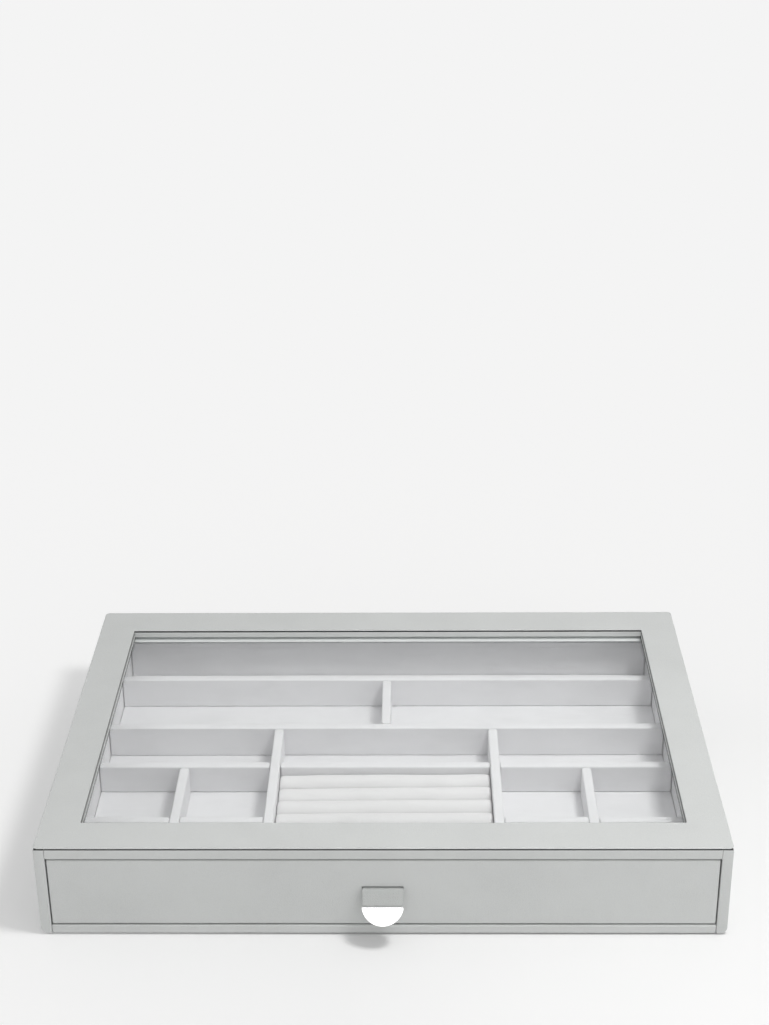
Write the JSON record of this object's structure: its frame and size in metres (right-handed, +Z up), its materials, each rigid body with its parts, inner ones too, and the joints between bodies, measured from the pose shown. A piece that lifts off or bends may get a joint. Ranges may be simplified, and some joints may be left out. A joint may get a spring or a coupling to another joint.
{
  "type": "glass-topped jewellery drawer box",
  "caption": "Shallow leatherette jewellery box with a glass window top and one full-width drawer holding a divided velvet tray, ring rolls and a metal-tipped leather pull tab.",
  "frame": {"origin": "centre of the felt underside, where the box stands", "axes": "+X to the right along the width, +Y to the back (the drawer opens towards -Y), +Z up"},
  "size_m": [0.365, 0.269, 0.056],
  "materials": {
    "leatherette": "pale grey pebble-grained leatherette over board, satin",
    "velvet": "pale grey-white short-nap velvet over board",
    "roll_velvet": "warm white short-nap velvet over foam",
    "glass": "clear float glass, polished",
    "polished_metal": "polished bright plated metal",
    "card": "raw grey-brown card",
    "felt": "grey felt"
  },
  "bodies": {
    "case": {"case_base": "leatherette", "base_felt": "felt", "case_left_side": "leatherette", "case_right_side": "leatherette", "case_back": "leatherette", "front_top_rail": "leatherette", "rear_top_rail": "leatherette", "left_top_rail": "leatherette", "right_top_rail": "leatherette", "top_facing": "leatherette", "glass_pane": "glass"},
    "drawer": {"drawer_base": "leatherette", "drawer_front": "leatherette", "drawer_sub_front": "leatherette", "drawer_left_side": "leatherette", "drawer_right_side": "leatherette", "drawer_back": "leatherette", "tab_tail": "leatherette", "tray_left_wall": "velvet", "tray_right_wall": "velvet", "tray_rear_wall": "velvet", "tray_front_wall": "velvet", "tray_floor": "velvet", "divider_row_1": "velvet", "divider_row_2": "velvet", "divider_row_2_centre": "velvet", "divider_long_left": "velvet", "divider_long_right": "velvet", "divider_row_3_left": "velvet", "divider_row_3_middle": "velvet", "divider_row_3_right": "velvet", "divider_short_left": "velvet", "divider_short_right": "velvet", "divider_row_4_outer_left": "velvet", "divider_row_4_inner_left": "velvet", "divider_row_4_inner_right": "velvet", "divider_row_4_outer_right": "velvet", "ring_roll_1": "roll_velvet", "ring_roll_2": "roll_velvet", "ring_roll_3": "roll_velvet", "ring_roll_4": "roll_velvet", "ring_roll_5": "roll_velvet", "ring_roll_6": "roll_velvet", "ring_roll_7": "roll_velvet", "floor_packer_left": "card", "floor_packer_middle": "card", "floor_packer_right": "card"},
    "tab": {"tab_strip": "leatherette", "tab_cap": "polished_metal"}
  },
  "joints": [
    {"name": "drawer_slide", "type": "slide", "parent": "case", "child": "drawer", "axis": [0, -1, 0], "range_m": [0, 0.225]},
    {"name": "tab_flex", "type": "hinge", "parent": "drawer", "child": "tab", "pos_m": [0, -0.1281, 0.0304], "axis": [-1, 0, 0], "range_deg": [-30, 95], "stiffness_Nm_per_rad": 0.02}
  ]
}
